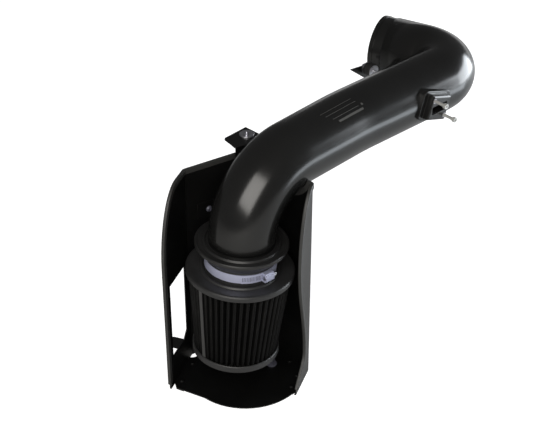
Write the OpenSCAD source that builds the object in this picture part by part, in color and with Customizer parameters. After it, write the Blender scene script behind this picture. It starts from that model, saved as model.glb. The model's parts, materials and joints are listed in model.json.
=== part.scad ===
// Cold air intake: a moulded tube on a cone filter, in an open heat shield.
// The origin is the middle of the tray's mounting stud, in the plane that the shield
// stands on. +Z is up, and +Y runs along the side walls, away from the open front.

/* [Tube] */
// Outside diameter of the tube at the filter
tube_od = 102; // [94:1:108]
// Outside diameter of the tube from the tight bend to the outlet
outlet_od = 106; // [98:1:110]
// Thickness of the moulded wall
tube_wall = 3.5; // [2.5:0.1:4.5]
// Centre line radius of the bend above the filter
lower_bend_r = 103; // [90:1:120]
// Compass heading of the first straight, from +Y towards +X
first_heading = 24; // [20:1:28]
// Length of the first straight
first_len = 107; // [90:1:130]
// Centre line radius of the slight bend between the straights
sweep_r = 590; // [400:10:800]
// Compass heading of the second straight
second_heading = 28.3; // [26:0.1:32]
// Length of the second straight
second_len = 185; // [170:1:230]
// Inside radius of the tight bend, on its short side
tight_bend_gap = 4; // [3:0.5:12]
// Compass heading of the outlet
outlet_heading = -80; // [-85:1:-70]
// Length of the straight outlet
outlet_len = 80; // [60:1:110]
// Width of the raised lip round the outlet
lip_w = 7.5; // [5:0.5:12]
// Width of the hose seat behind the lip
seat_w = 16; // [12:0.5:25]
// Depth of the hose seat
seat_depth = 0.8; // [0.4:0.1:1.2]

/* [Sensor pad] */
// Distance of the pad's middle from the start of the tight bend
pad_back = 64; // [60:1:80]
// Distance of the pad's face from the centre line
pad_face = 68; // [64:0.5:74]
// Distance of the saddle plate's face from the centre line
saddle_face = 57; // [56:0.5:60]
// Width and height of the saddle plate
saddle_size = [66, 50]; // [40:1:80]
// Width and height of the pad's block
pad_size = [46, 42]; // [40:1:60]
// Turn of the block against the tube's centre line
pad_turn = -18; // [-25:1:0]
// Length and height of the sensor slot
slot_size = [34, 13]; // [10:1:36]
// Place of the first sensor screw from the slot's middle
screw_a = [-12.5, 17]; // [-20:0.5:20]
// Thread diameter of the sensor screws
sensor_screw_d = 5; // [4:0.5:6]
// Length of the sensor screws that stands clear of the pad, without the head
sensor_screw_out = 19; // [10:1:24]

/* [Filter] */
// Foot of the filter's axis in the plane that the shield stands on
axis_foot = [-46, -56]; // [-60:1:-40]
// Lean of the filter's axis from upright
lean = 3.6; // [0:0.2:5]
// Compass heading that the filter's top leans to
lean_heading = 52; // [30:1:70]
// Height of the filter's underside above the foot of its axis
filter_lift = 73; // [60:1:85]
// Height of the filter from its underside to the upper face of its top cap
filter_h = 156; // [140:1:165]
// Diameter of the top cap
cap_d = 168; // [160:1:172]
// Height of the top cap's rim
cap_rim_h = 8.8; // [7:0.2:12]
// Diameter of the bottom cap
bottom_d = 137; // [130:1:145]
// Height of the bottom cap
bottom_h = 11.3; // [9:0.1:16]
// Thickness of the moulded rims round the pleats
rim_wall = 2.4; // [1.6:0.1:4]
// Number of pleats
pleats = 48; // [36:1:56]
// Depth of a pleat
pleat_depth = 18; // [12:0.5:20]
// Thickness of the filter media with its mesh
media_t = 1.1; // [0.8:0.1:1.6]
// Width of the strip over the seam of the media
seam_w = 6.5; // [4:0.5:10]
// Thickness of the strip over the seam
seam_t = 1.2; // [0.8:0.1:1.6]
// Height of the filter's neck above its cap
neck_h = 24; // [20:1:26]
// Wall of the filter's neck
neck_wall = 4.2; // [3:0.1:5]

/* [Adapter] */
// Diameter of the adapter's flange
flange_d = 144; // [132:1:150]
// Height of the flange's underside above the filter's cap
flange_lift = 42.3; // [38:0.5:50]
// Thickness of the flange
flange_t = 5; // [4:0.5:8]
// Depth of the socket that takes the tube
socket_depth = 18; // [12:1:24]
// Depth of the adapter's spigot below the filter's cap
spigot_drop = 6; // [2:0.5:12]

/* [Hose clamp] */
// Width of the clamp's band
clamp_w = 14; // [12:0.5:15]
// Thickness of the clamp's band
clamp_t = 0.9; // [0.6:0.1:1.2]
// Height of the band's lower edge above the filter's cap
clamp_lift = 7; // [5:0.5:8]
// Direction of the clamp's housing about the filter's axis
clamp_angle = -27; // [-60:1:20]

/* [Heat shield] */
// Width of the shield outside its side walls
shield_w = 196.8; // [190:0.2:206]
// Place of the left wall's outer face along X
shield_left = -135.9; // [-138:0.1:-134]
// Depth of the shield's top edge below the tube's centre line
shield_below = 23; // [15:1:40]
// Thickness of the sheet
sheet_t = 1.6; // [1:0.1:2.4]
// Place of the left rear fold along Y
left_fold_y = -18; // [-20:1:-12]
// Place of the right rear fold along Y
right_fold_y = 10; // [7:1:14]
// Place of the rear fold, where the two rear walls meet
rear_fold = [-61, 73.5]; // [-70:0.5:80]
// Inside radius of the folds
fold_r = 3; // [2:0.5:5]
// Place of the left wall's front edge along Y
left_front_y = -108.5; // [-116:0.5:-102]
// Place of the right wall's front edge along Y, at its fullest
right_front_y = -44; // [-48:0.5:-40]
// Place of the right wall's front edge along Y, at its waist
right_waist_y = -12; // [-22:0.5:-6]
// Place of the right wall's toe along Y
right_toe_y = -56; // [-62:0.5:-50]
// Height of the rounded upper corners
corner_h = 122; // [90:1:140]
// Clearance of the trimmed cut-out round the tube
tube_gap = 0.3; // [0.3:0.1:4]
// Width of the folds under the tray
ledge_w = 22; // [18:0.5:24]
// Width and height of the window in the left wall
window_size = [57, 139]; // [30:1:150]
// Place of the window's front lower corner along Y and Z
window_at = [-91, 55]; // [-96:1:60]
// Reach of the tab over the window and of the tab under it
window_tabs = [19, 23]; // [10:1:28]

/* [Tray and trim] */
// Thickness of the tray
tray_t = 2; // [1.5:0.1:3]
// How much the radius of the tray's round front exceeds half the shield's width
tray_r_over = 1.6; // [0.5:0.1:6]
// Place of the round front's centre along Y
tray_centre_y = -19.6; // [-24:0.2:-16]
// Place of the tray's front corner along Y
tray_front_y = -106; // [-108:0.5:-102]
// Thickness of the rubber edge trim
trim_t = 5.2; // [4:0.1:6]
// Depth of the trim over the sheet's edge
trim_grip = 6; // [4:0.5:8]
// How far the trim stands past the sheet's edge
trim_lip = 2.8; // [2:0.1:3.5]

/* [Brackets and fasteners] */
// Thickness of the brackets
bracket_t = 2; // [1.5:0.1:3]
// Height of the shield bracket's tab above the shield
tab_lift = 13.6; // [10:0.2:18]
// Diameter of the rubber isolators
isolator_d = 22; // [18:1:24]
// Length of the rubber in the isolators
isolator_len = 15; // [12:1:20]
// Thickness of the isolators' steel plates
plate_t = 1.6; // [1:0.1:2.5]
// Thread diameter of the isolators' studs
stud_d = 6; // [5:0.5:8]
// Length of the isolators' free studs
stud_out = 6.5; // [5:0.5:14]
// Distance of the tube bracket's plate from the tube's centre line
bracket_out = 113; // [110:1:120]
// Diameter of the isolator washer on the shield bracket
washer_d = 24; // [18:1:26]
// Thread diameter of the screws that hold the tray
tray_screw_d = 5; // [4:0.5:6]
// Thread diameter of the tray's mounting stud
tray_stud_d = 8; // [6:1:10]
// Running clearance between a fastener and its hole
hole_gap = 0.3; // [0.2:0.1:0.6]

/* [Hidden] */
$fn = 96;

// Slack where two separate pieces seat on each other
seat_gap = 0.1;
// Overshoot of a cut past the face that it opens
past = 1;

tube_r = tube_od / 2;
outlet_r = outlet_od / 2;
middle_r = (tube_r + outlet_r) / 2;
tight_bend_r = outlet_r + tight_bend_gap;
cap_top = filter_lift + filter_h;
spigot_r = tube_r - 0.4;
neck_in = spigot_r + seat_gap;
neck_r = neck_in + neck_wall;
cap_plate = 4;
bottom_plate = 5;
flange_top = cap_top + flange_lift + flange_t;
tube_foot = flange_top - socket_depth;

// Vectors and placing

function unit(v) = v / norm(v);
function heading(a) = [sin(a), cos(a), 0];
function columns(x, y, z, p) = [
  [x[0], y[0], z[0], p[0]],
  [x[1], y[1], z[1], p[1]],
  [x[2], y[2], z[2], p[2]],
  [0, 0, 0, 1]
];

module on_axis(h = 0) {
  translate(axis_foot)
    rotate(a = lean, v = [-cos(lean_heading), sin(lean_heading), 0])
      translate([0, 0, h])
        children();
}

axis_dir = [sin(lean) * sin(lean_heading), sin(lean) * cos(lean_heading), cos(lean)];
first_dir = heading(first_heading);
second_dir = heading(second_heading);
outlet_dir = heading(outlet_heading);

// Bends: the turn, the side that it turns to, and its end

function turn(a, b) = acos(a * b);
function bend_side(a, b) = unit(b - a * (a * b));
function bend_end(p, a, b, r) =
  p + bend_side(a, b) * r * (1 - cos(turn(a, b))) + a * r * sin(turn(a, b));

// The centre line's corners, from the filter to the outlet
bend1_at = concat(axis_foot, 0) + axis_dir * (flange_top + 11);
first_at = bend_end(bend1_at, axis_dir, first_dir, lower_bend_r);
bend2_at = first_at + first_dir * first_len;
second_at = bend_end(bend2_at, first_dir, second_dir, sweep_r);
bend3_at = second_at + second_dir * second_len;
outlet_at = bend_end(bend3_at, second_dir, outlet_dir, tight_bend_r);
tube_z = first_at[2];
shield_h = tube_z - shield_below;

module straight(p, d, len, r_start, r_end) {
  guide = abs(d[2]) > 0.9 ? [1, 0, 0] : [0, 0, 1];
  side = unit(cross(guide, d));
  multmatrix(columns(side, cross(d, side), d, p))
    cylinder(h = len, r1 = r_start, r2 = r_end);
}

module elbow(p, a, b, bend_r, pipe_r) {
  side = bend_side(a, b);
  multmatrix(columns(-side, a, cross(-side, a), p + side * bend_r))
    rotate_extrude(angle = turn(a, b))
      translate([bend_r, 0])
        circle(r = pipe_r);
}

// The bends stand this much proud of the straights, which run on into them
bend_step = 0.25;

// The tube's outside with no inset, or its bore with the wall as the inset
module tube_form(inset, overshoot) {
  lead = flange_top + 11 - tube_foot + overshoot;
  r = [tube_r - inset, middle_r - inset, outlet_r - inset];
  lap = 1;
  straight(bend1_at - axis_dir * lead, axis_dir, lead + lap, r[0], r[0]);
  elbow(bend1_at, axis_dir, first_dir, lower_bend_r, r[0] + bend_step);
  straight(first_at - first_dir * lap, first_dir, first_len + 2 * lap, r[0], r[1]);
  elbow(bend2_at, first_dir, second_dir, sweep_r, r[1] + bend_step);
  straight(second_at - second_dir * lap, second_dir, second_len + 2 * lap, r[1], r[2]);
  elbow(bend3_at, second_dir, outlet_dir, tight_bend_r, r[2] + bend_step);
  straight(outlet_at - outlet_dir * lap, outlet_dir, outlet_len + lap + overshoot, r[2], r[2]);
}

// Frame on the side of the second straight: X along it, Y up, Z out of the tube
module beside_run(back, side = 1) {
  out = heading(second_heading + 90) * side;
  multmatrix(columns(second_dir * side, [0, 0, 1], out, bend3_at - second_dir * back))
    children();
}

module rounded_rect(size, r) {
  square([size[0] - 2 * r, size[1]], center = true);
  square([size[0], size[1] - 2 * r], center = true);
  for (x = [-1, 1], y = [-1, 1])
    translate([x * (size[0] / 2 - r), y * (size[1] / 2 - r)])
      circle(r = r);
}

// A ring with square edges
module tube_ring(r_out, r_in, h) {
  difference() {
    cylinder(h = h, r = r_out);
    translate([0, 0, -past])
      cylinder(h = h + 2 * past, r = r_in);
  }
}

// Tube

insert_r = sensor_screw_d / 2 + 1.2;
insert_len = 9;
sensor_screws_at = [screw_a, -screw_a];
boss_r = 9;
boss_side = 25;
boss_back = 17.5;
boss_bore_r = 4.2;
boss_face = outlet_r + 0.8;
boss_deep = 10;
chamfer = 2.5;

module pad_block() {
  beside_run(pad_back) {
    rotate([0, 0, pad_turn])
      translate([0, 0, outlet_r / 2]) {
        linear_extrude(saddle_face - outlet_r / 2)
          rounded_rect(saddle_size, 8);
        difference() {
          linear_extrude(pad_face - outlet_r / 2)
            rounded_rect(pad_size, 2);
          for (a = [0, 90, 180, 270])
            rotate([0, 0, a])
              translate([pad_size[a % 180 == 0 ? 0 : 1] / 2, 0, pad_face - outlet_r / 2])
                rotate([0, 45, 0])
                  cube([chamfer * sqrt(2), 2 * pad_size[0], chamfer * sqrt(2)], center = true);
        }
      }
  }
}

module bracket_boss() {
  beside_run(boss_back, -1)
    translate([0, -boss_face, boss_side])
      rotate([-90, 0, 0])
        cylinder(h = boss_face, r = boss_r);
}

module intake_tube() {
  color([0.035, 0.035, 0.035])
    difference() {
      union() {
        tube_form(0, 0);
        pad_block();
        bracket_boss();
      }
      tube_form(tube_wall, past);
      multmatrix(columns([0, 0, 1], cross(outlet_dir, [0, 0, 1]), outlet_dir, outlet_at))
        translate([0, 0, outlet_len - lip_w - seat_w])
          tube_ring(outlet_r + past, outlet_r - seat_depth, seat_w);
      beside_run(pad_back) {
        translate([0, 0, outlet_r / 2 + pad_face])
          cube([slot_size[0], slot_size[1], 2 * pad_face], center = true);
        for (at = sensor_screws_at)
          translate([at[0], at[1], pad_face - insert_len])
            cylinder(h = insert_len + past, r = insert_r);
      }
      beside_run(boss_back, -1)
        translate([0, -boss_face - past, boss_side])
          rotate([-90, 0, 0])
            cylinder(h = boss_deep + past, r = boss_bore_r);
    }
}

module sensor_inserts() {
  color([0.72, 0.53, 0.25])
    beside_run(pad_back)
      for (at = sensor_screws_at)
        translate([at[0], at[1], pad_face - insert_len])
          tube_ring(insert_r, sensor_screw_d / 2, insert_len);
}

module sensor_screws() {
  head_r = sensor_screw_d * 0.85;
  color([0.85, 0.85, 0.86])
    beside_run(pad_back)
      for (at = sensor_screws_at)
        translate([at[0], at[1], pad_face + seat_gap - insert_len])
          difference() {
            union() {
              cylinder(h = insert_len + sensor_screw_out, r = sensor_screw_d / 2 - seat_gap / 2);
              translate([0, 0, insert_len + sensor_screw_out])
                cylinder(h = sensor_screw_d, r = head_r);
            }
            translate([0, 0, insert_len + sensor_screw_out + sensor_screw_d / 2])
              cylinder(h = sensor_screw_d, r = sensor_screw_d * 0.46, $fn = 6);
          }
}

// Adapter and filter

module tube_adapter() {
  bore = tube_r - tube_wall;
  socket = tube_r + seat_gap;
  lift = flange_lift;
  color([0.05, 0.05, 0.05])
    on_axis(cap_top)
      rotate_extrude()
        polygon([
          [bore, -spigot_drop],
          [spigot_r, -spigot_drop],
          [spigot_r, neck_h + seat_gap],
          [neck_r + 1, neck_h + seat_gap],
          [flange_d / 2 - 3, lift - 2.2],
          [flange_d / 2 - 3, lift],
          [flange_d / 2, lift],
          [flange_d / 2, lift + flange_t - 1.2],
          [flange_d / 2 - 1.2, lift + flange_t],
          [flange_d / 2 - 3.5, lift + flange_t],
          [flange_d / 2 - 5, lift + flange_t - 1],
          [tube_r + 10, lift + flange_t - 1],
          [tube_r + 8.5, lift + flange_t + 2],
          [tube_r + 5.5, lift + flange_t + 2],
          [tube_r + 4, lift + flange_t - 0.5],
          [socket, lift + flange_t - 0.5],
          [socket, lift + flange_t - socket_depth - seat_gap],
          [bore, lift + flange_t - socket_depth - seat_gap]
        ]);
}

module filter_top_cap() {
  r = cap_d / 2;
  ring = neck_r + 5;
  color([0.06, 0.06, 0.06])
    on_axis(cap_top)
      rotate_extrude()
        polygon([
          [neck_in, -cap_plate],
          [r - rim_wall, -cap_plate],
          [r - rim_wall, -cap_rim_h],
          [r - 0.8, -cap_rim_h],
          [r, -cap_rim_h + 0.8],
          [r, -1.6],
          [r - 1.6, 0],
          [r - 5, 0.4],
          [ring + 3, -0.6],
          [ring + 1.6, 1.8],
          [ring - 1.6, 1.8],
          [ring - 3, -0.6],
          [neck_r, -0.6],
          [neck_r, neck_h - 1],
          [neck_r - 1, neck_h],
          [neck_in, neck_h]
        ]);
}

media_low = filter_lift + bottom_plate;
media_high = cap_top - cap_plate;
media_top_r = cap_d / 2 - rim_wall - seam_t - 0.5;
media_low_r = bottom_d / 2 - rim_wall - 0.9;
media_inner_r = media_top_r - pleat_depth;

// The folded sheet: blunt crests outside and blunt valleys inside
function crest(r, i, half) = [r * cos(i * 360 / pleats + half), r * sin(i * 360 / pleats + half)];
function fold_line(r_crest, r_valley) = [
  for (i = [0:pleats - 1], k = [0:3])
    crest(k < 2 ? r_crest : r_valley, i + (k < 2 ? 0 : 0.5), (k % 2 == 0 ? -1 : 1) * 150 / pleats * 0.22)
];

module filter_media() {
  pitch = 180 * media_top_r / pleats / 57.3;
  shift = media_t * sqrt(pleat_depth * pleat_depth + pitch * pitch) / pitch;
  outer = fold_line(media_top_r, media_inner_r + shift);
  inner = fold_line(media_top_r - shift, media_inner_r);
  count = len(outer);
  color([0.04, 0.04, 0.045])
    on_axis(media_high)
      rotate([180, 0, 0])
        linear_extrude(media_high - media_low, scale = media_low_r / media_top_r)
          polygon(
            concat(outer, inner),
            [[for (i = [0:count - 1]) i], [for (i = [0:count - 1]) count + i]]
          );
}

module filter_seam_strip() {
  low = filter_lift + bottom_h;
  high = cap_top - cap_rim_h;
  slope = atan((media_top_r - media_low_r) / (media_high - media_low));
  low_r = media_low_r + (low - media_low) * tan(slope) + seat_gap;
  color([0.06, 0.06, 0.06])
    on_axis(low + seat_gap)
      rotate([0, 0, -117.5])
        translate([low_r, -seam_w / 2, 0])
          rotate([0, slope, 0])
            cube([seam_t, seam_w, (high - low) / cos(slope) - 3 * seat_gap]);
}

module filter_bottom_cap() {
  r = bottom_d / 2;
  dish = r - 16;
  color([0.07, 0.07, 0.07])
    on_axis(filter_lift)
      rotate_extrude()
        polygon([
          [0, 2.5],
          [dish - 2.5, 2.5],
          [dish, 0],
          [r - 1.2, 0],
          [r, 1.2],
          [r, bottom_h - 0.8],
          [r - 0.8, bottom_h],
          [r - rim_wall, bottom_h],
          [r - rim_wall, bottom_plate],
          [0, bottom_plate]
        ]);
}

// Hose clamp

clamp_r = neck_r + seat_gap;
tail_r = clamp_r + clamp_t;
housing_len = 16;
housing_h = 9;
worm_r = 3.2;
worm_at = tail_r + clamp_t + 4.4;

// A ring of one layer, with a second layer between two directions
module band_plan(from, to) {
  far = 2 * clamp_r;
  difference() {
    union() {
      circle(r = tail_r);
      intersection() {
        circle(r = tail_r + clamp_t);
        polygon([[0, 0], far * [cos(from), sin(from)], far * [cos(to), sin(to)]]);
      }
    }
    circle(r = clamp_r);
  }
}

module clamp_band() {
  slots = 9;
  color([0.8, 0.8, 0.86])
    on_axis(cap_top + clamp_lift)
      rotate([0, 0, clamp_angle])
        difference() {
          linear_extrude(clamp_w)
            band_plan(-42, 30);
          for (i = [0:slots - 1])
            rotate([0, 0, i * 3 - 38])
              translate([tail_r + clamp_t / 2, -0.6, clamp_w * 0.2])
                cube([clamp_t, 1.2, clamp_w * 0.6]);
        }
}

module clamp_housing() {
  saddle = tail_r + clamp_t + seat_gap;
  color([0.82, 0.82, 0.88])
    on_axis(cap_top + clamp_lift)
      rotate([0, 0, clamp_angle])
        difference() {
          translate([saddle - 1, -housing_len / 2, -0.6])
            cube([housing_h + 1, housing_len, clamp_w + 1.2]);
          translate([0, 0, -past])
            cylinder(h = clamp_w + 2 * past, r = saddle);
          translate([worm_at, housing_len / 2 + past, clamp_w / 2])
            rotate([90, 0, 0])
              cylinder(h = housing_len + 2 * past, r = worm_r + seat_gap);
          for (z = [-0.6, clamp_w + 0.6])
            translate([saddle + housing_h, 0, z])
              rotate([0, 45, 0])
                cube([4, housing_len + 2 * past, 4], center = true);
        }
}

module clamp_screw() {
  color([0.78, 0.78, 0.8])
    on_axis(cap_top + clamp_lift)
      rotate([0, 0, clamp_angle])
        translate([worm_at, housing_len / 2 + 2, clamp_w / 2])
          rotate([90, 0, 0])
            difference() {
              union() {
                cylinder(h = housing_len + 3, r = worm_r);
                translate([0, 0, -4])
                  cylinder(h = 4, r = 4.05, $fn = 6);
                translate([0, 0, 0])
                  cylinder(h = 1.6, r = 4.6);
              }
              translate([-5, -0.6, -5])
                cube([10, 1.2, 2.4]);
            }
}

// Heat shield

left_in = shield_left + sheet_t;
right_in = shield_left + shield_w - sheet_t;
shield_line = [
  [left_in, left_front_y - trim_lip - 2],
  [left_in, left_fold_y],
  rear_fold,
  [right_in, right_fold_y],
  [right_in, right_toe_y - trim_lip - 2]
];
left_wall_dir = unit(rear_fold - shield_line[1]);
right_wall_dir = unit(shield_line[3] - rear_fold);
left_wall_angle = atan2(left_wall_dir[1], left_wall_dir[0]);
right_wall_angle = atan2(right_wall_dir[1], right_wall_dir[0]);
left_wall_len = norm(rear_fold - shield_line[1]);
right_wall_len = norm(shield_line[3] - rear_fold);

function left_normal(a, b) = [-(b - a)[1], (b - a)[0]] / norm(b - a);
function mitre(a, b, c, t) =
  let (m = left_normal(a, b), n = left_normal(b, c)) b + t * (m + n) / (1 + m * n);
// A line moved sideways, outwards where t is positive
function shifted(line, t) = [
  for (i = [0:len(line) - 1])
    i == 0 ? line[0] + t * left_normal(line[0], line[1])
    : i == len(line) - 1 ? line[i] + t * left_normal(line[i - 1], line[i])
    : mitre(line[i - 1], line[i], line[i + 1], t)
];
// A fold's round corner
function fillet(a, b, c, r) =
  let (
    u = unit(a - b),
    v = unit(c - b),
    half = acos(u * v) / 2,
    centre = b + unit(u + v) * r / sin(half),
    from = b + u * r / tan(half) - centre,
    swing = 180 - 2 * half,
    hand = u[0] * v[1] - u[1] * v[0] > 0 ? -1 : 1,
    steps = 6
  ) [
    for (k = [0:steps])
      let (s = hand * swing * k / steps)
        centre + [from[0] * cos(s) - from[1] * sin(s), from[0] * sin(s) + from[1] * cos(s)]
  ];
function folded(line, r) = [
  for (i = [0:len(line) - 1])
    each (i == 0 || i == len(line) - 1 ? [line[i]] : fillet(line[i - 1], line[i], line[i + 1], r))
];
function reversed(list) = [for (i = [len(list) - 1:-1:0]) list[i]];

// The walls' plan between two sideways offsets of their inside
module wall_plan(inner, outer) {
  polygon(concat(
    folded(shifted(shield_line, inner), fold_r + inner),
    reversed(folded(shifted(shield_line, outer), fold_r + outer))
  ));
}

// Front edges in the plane of a side wall, as [Y, Z], moved out by grow
corner_foot = shield_h - corner_h;
left_corner_w = 62;
right_corner_w = 51;
function quarter(at_y, w, h, grow) = [
  for (a = [0:7.5:90]) [at_y + w - (w + grow) * cos(a), corner_foot + (h + grow) * sin(a)]
];
function ease(t) = (1 - cos(180 * t)) / 2;
waist_z = 55;
function right_edge(grow) = [
  for (k = [0:6]) [right_toe_y + (right_waist_y - right_toe_y) * ease(k / 6) - grow, waist_z * k / 6],
  for (k = [1:9])
    [right_waist_y + (right_front_y - right_waist_y) * ease(k / 10) - grow,
     waist_z + (corner_foot - waist_z) * k / 10]
];

// What the front edges, the top edge and the tube's cut-out take away
module shield_cuts(grow) {
  far = 60;
  reach = trim_t + 10;
  translate([left_in + reach, 0, 0])
    rotate([90, 0, -90])
      linear_extrude(2 * reach)
        polygon(concat(
          [for (p = concat([[left_front_y - grow, -far]], quarter(left_front_y, left_corner_w, corner_h, grow))) [-p[0], p[1]]],
          [[-left_front_y - left_corner_w, shield_h + far], [-left_front_y + far, shield_h + far], [-left_front_y + far, -far]]
        ));
  translate([right_in + reach, 0, 0])
    rotate([90, 0, -90])
      linear_extrude(2 * reach)
        polygon(concat(
          [for (p = concat(right_edge(grow), quarter(right_front_y, right_corner_w, corner_h, grow))) [-p[0], p[1]]],
          [[-right_front_y - right_corner_w, shield_h + far], [-right_toe_y + far, shield_h + far], [-right_toe_y + far, -far], [-right_toe_y + grow, -far]]
        ));
  translate([left_in - reach, left_fold_y - far, shield_h + grow])
    cube([shield_w + 2 * reach, 3 * far, far]);
  tube_room(bend_step + tube_gap + trim_lip - grow);
}

// The bend of the tube that crosses the shield, made larger all round
module tube_room(grow) {
  elbow(bend1_at, axis_dir, first_dir, lower_bend_r, tube_r + grow);
}

// Frame on the left rear wall: X along it from its fold, Y outwards, Z up
module on_left_rear() {
  translate([shield_line[1][0], shield_line[1][1], 0])
    rotate([0, 0, left_wall_angle])
      children();
}

module on_right_rear() {
  translate([rear_fold[0], rear_fold[1], 0])
    rotate([0, 0, right_wall_angle])
      children();
}

tray_gap = 0.4;
tray_x = (left_in + right_in) / 2;
tray_r = shield_w / 2 + tray_r_over;
relief_r = 12;

module tray_plan() {
  inside = shifted(shield_line, -tray_gap);
  right_x = inside[4][0];
  left_x = inside[0][0];
  corner_x = left_x + 60;
  right_a = asin((right_x - tray_x) / tray_r);
  left_a = -asin((tray_x - corner_x) / tray_r);
  steps = 16;
  difference() {
    polygon(concat(
      [[left_x, tray_front_y + 12.5], inside[1], inside[2], inside[3]],
      [for (k = [0:steps])
        let (a = right_a + (left_a - right_a) * k / steps)
          [tray_x + tray_r * sin(a), tray_centre_y - tray_r * cos(a)]],
      [[left_x + 8.5, tray_front_y]]
    ));
    for (p = [shield_line[1], shield_line[2], shield_line[3]])
      translate(p)
        circle(r = relief_r);
  }
}

// The walls' lower folds, w wide and reaching into the walls by the root
module ledges(w, root = 0) {
  relief = relief_r + 4;
  translate([left_in - root, left_front_y])
    square([w + root, left_fold_y - left_front_y - relief]);
  translate([right_in - w, right_toe_y])
    square([w + root, right_fold_y - right_toe_y - relief]);
  on_left_rear()
    translate([relief, -w])
      square([left_wall_len - 2.9 * relief, w + root]);
  on_right_rear()
    translate([1.9 * relief, -w])
      square([right_wall_len - 3.2 * relief, w + root]);
}

module window_plan(grow) {
  w = window_size[0];
  h = window_size[1];
  cut = 12;
  polygon([[0, 0], [w - cut, 0], [w, cut], [w, h], [0, h]]);
}

// Outward tabs at the window's upper and lower edges, with clipped corners
module window_tab(reach, from, to, clip) {
  translate([shield_left - reach, 0, 0])
    linear_extrude(sheet_t)
      polygon([
        [0, from + clip], [clip, from], [reach + sheet_t, from],
        [reach + sheet_t, to], [clip, to], [0, to - clip]
      ]);
}

bolt_z = 280;
arm_from = 19.5;
arm_to = left_wall_len - 4;
bolt_x = [arm_from + 20, arm_to - 12];
arm_h = 29;
riser_w = 24;
bolt_d = 6;

module shield_wall() {
  color([0.045, 0.045, 0.05])
    difference() {
      union() {
        difference() {
          linear_extrude(shield_h + 20)
            wall_plan(0, sheet_t);
          shield_cuts(0);
          translate([left_in + past, window_at[0], window_at[1]])
            rotate([90, 0, 90])
              mirror([0, 0, 1])
                linear_extrude(sheet_t + 2 * past)
                  window_plan();
        }
        linear_extrude(sheet_t)
          intersection() {
            ledges(ledge_w);
            tray_plan();
          }
        ledge_roots();
        translate([0, 0, window_at[1] + window_size[1]])
          window_tab(window_tabs[0], window_at[0] + 10, window_at[0] + window_size[0] - 4, 6);
        translate([0, 0, window_at[1] - sheet_t])
          window_tab(window_tabs[1], window_at[0] + 20, window_at[0] + window_size[0] - 12, 6);
      }
      for (p = tray_screws_at)
        translate([p[0], p[1], -past])
          cylinder(h = sheet_t + 2 * past, r = tray_screw_d / 2);
      on_left_rear()
        for (x = bolt_x)
          translate([x, sheet_t + past, bolt_z])
            rotate([90, 0, 0])
              cylinder(h = sheet_t + 2 * past, r = bolt_d / 2 + hole_gap);
    }
}

// Joins each ledge to its wall across the tray's edge gap
module ledge_roots() {
  linear_extrude(sheet_t)
    ledges(tray_gap + past, sheet_t / 2);
}

function along_left_rear(x, y) =
  [shield_line[1][0] + x * cos(left_wall_angle) - y * sin(left_wall_angle),
   shield_line[1][1] + x * sin(left_wall_angle) + y * cos(left_wall_angle)];
function along_right_rear(x, y) =
  [rear_fold[0] + x * cos(right_wall_angle) - y * sin(right_wall_angle),
   rear_fold[1] + x * sin(right_wall_angle) + y * cos(right_wall_angle)];
half_ledge = ledge_w / 2;
tray_screws_at = [
  [left_in + half_ledge, left_front_y + 20],
  [left_in + half_ledge, left_fold_y - 25],
  [right_in - half_ledge, right_toe_y + 14],
  [right_in - half_ledge, right_fold_y - 24],
  along_left_rear(relief_r * 2.25, -half_ledge),
  along_left_rear(left_wall_len - relief_r * 3.5, -half_ledge),
  along_right_rear(relief_r * 3.5, -half_ledge),
  along_right_rear(right_wall_len - relief_r * 8 / 3, -half_ledge)
];
tray_stud_at = [0, 0];

module shield_tray() {
  color([0.04, 0.04, 0.045])
    translate([0, 0, sheet_t])
      difference() {
        linear_extrude(tray_t)
          tray_plan();
        for (p = tray_screws_at)
          translate([p[0], p[1], -past])
            cylinder(h = tray_t + 2 * past, r = tray_screw_d / 2 + hole_gap);
        translate([tray_stud_at[0], tray_stud_at[1], -past])
          cylinder(h = tray_t + 2 * past, r = tray_stud_d / 2 + hole_gap);
      }
}

module shield_trim() {
  slack = seat_gap;
  side = (trim_t - sheet_t) / 2;
  foot = 10;
  color([0.09, 0.09, 0.09])
    difference() {
      translate([0, 0, foot])
        linear_extrude(shield_h + 20)
          wall_plan(-side, sheet_t + side);
      shield_cuts(trim_lip);
      difference() {
        linear_extrude(shield_h + 30)
          wall_plan(-side - past, sheet_t + side + past);
        shield_cuts(-trim_grip);
      }
      difference() {
        linear_extrude(shield_h + 30)
          wall_plan(-slack, sheet_t + slack);
        shield_cuts(slack);
      }
      on_left_rear()
        translate([arm_to - riser_w - seat_gap, -bracket_t - side - past, 0])
          cube([riser_w + 2 * seat_gap, bracket_t + side + past, shield_h + 40]);
    }
}

module tray_screws() {
  head_r = tray_screw_d * 0.9;
  head_h = tray_screw_d * 0.5;
  color([0.3, 0.3, 0.31])
    for (p = tray_screws_at)
      translate([p[0], p[1], 0])
        difference() {
          union() {
            cylinder(h = sheet_t + tray_t + seat_gap, r = tray_screw_d / 2 - seat_gap / 2);
            translate([0, 0, sheet_t + tray_t]) {
              cylinder(h = head_h * 0.4, r = head_r);
              translate([0, 0, head_h * 0.4])
                cylinder(h = head_h * 0.6, r1 = head_r, r2 = head_r * 0.55);
            }
          }
          translate([0, 0, sheet_t + tray_t + head_h * 0.3])
            cylinder(h = head_h, r = tray_screw_d * 0.3, $fn = 6);
        }
}

nut_h = tray_stud_d * 0.9;

module tray_stud() {
  color([0.7, 0.7, 0.74])
    translate([tray_stud_at[0], tray_stud_at[1], 0]) {
      cylinder(h = sheet_t, r = tray_stud_d * 0.9);
      cylinder(h = sheet_t + tray_t + nut_h + 2, r = tray_stud_d / 2 - seat_gap / 2);
    }
}

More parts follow.
